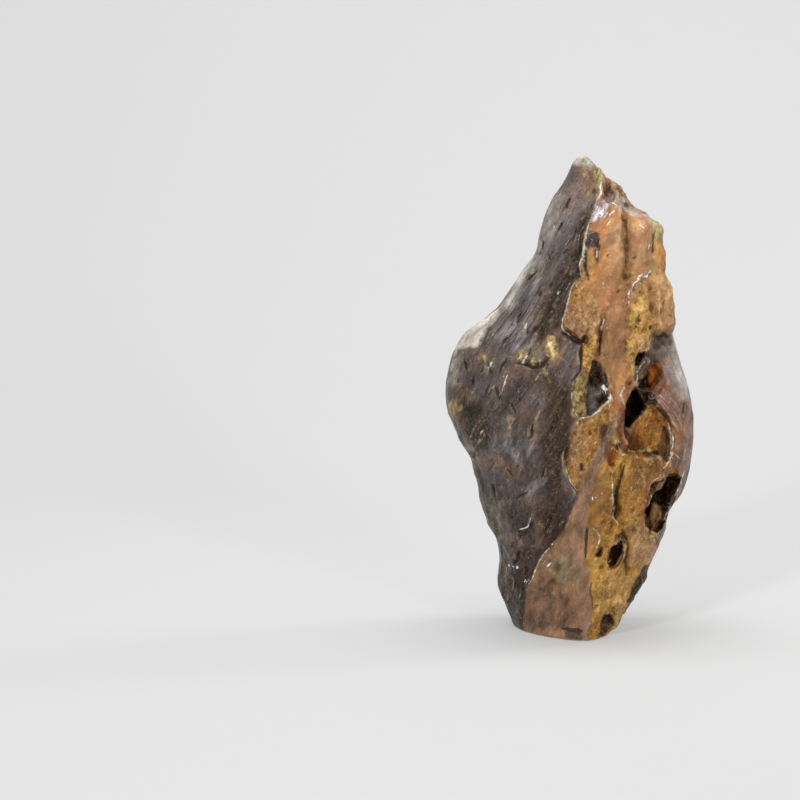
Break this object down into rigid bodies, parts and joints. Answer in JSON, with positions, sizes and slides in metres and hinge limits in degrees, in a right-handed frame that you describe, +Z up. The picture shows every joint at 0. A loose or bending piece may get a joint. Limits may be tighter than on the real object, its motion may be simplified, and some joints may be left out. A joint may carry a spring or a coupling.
{
  "type": "pine bark stone",
  "caption": "Upright ornamental stone with a dark bark-like skin on one side and worn ochre flesh with hollows on the other, standing on a flat underside.",
  "frame": {"origin": "middle of the stone's width and depth, on its flat underside", "axes": "+Z up, from the underside to the tip; -Y is the front, which shows the ridge between the dark bark and the ochre flesh; +X is the right of that front"},
  "size_m": [0.146, 0.112, 0.28],
  "materials": {
    "stone": "wet-looking natural stone: purple-grey bark skin, ochre and pink-brown flesh, dark hollows, thin cream veins, under a clear gloss"
  },
  "bodies": {
    "root": {"stone": "stone"}
  },
  "joints": []
}
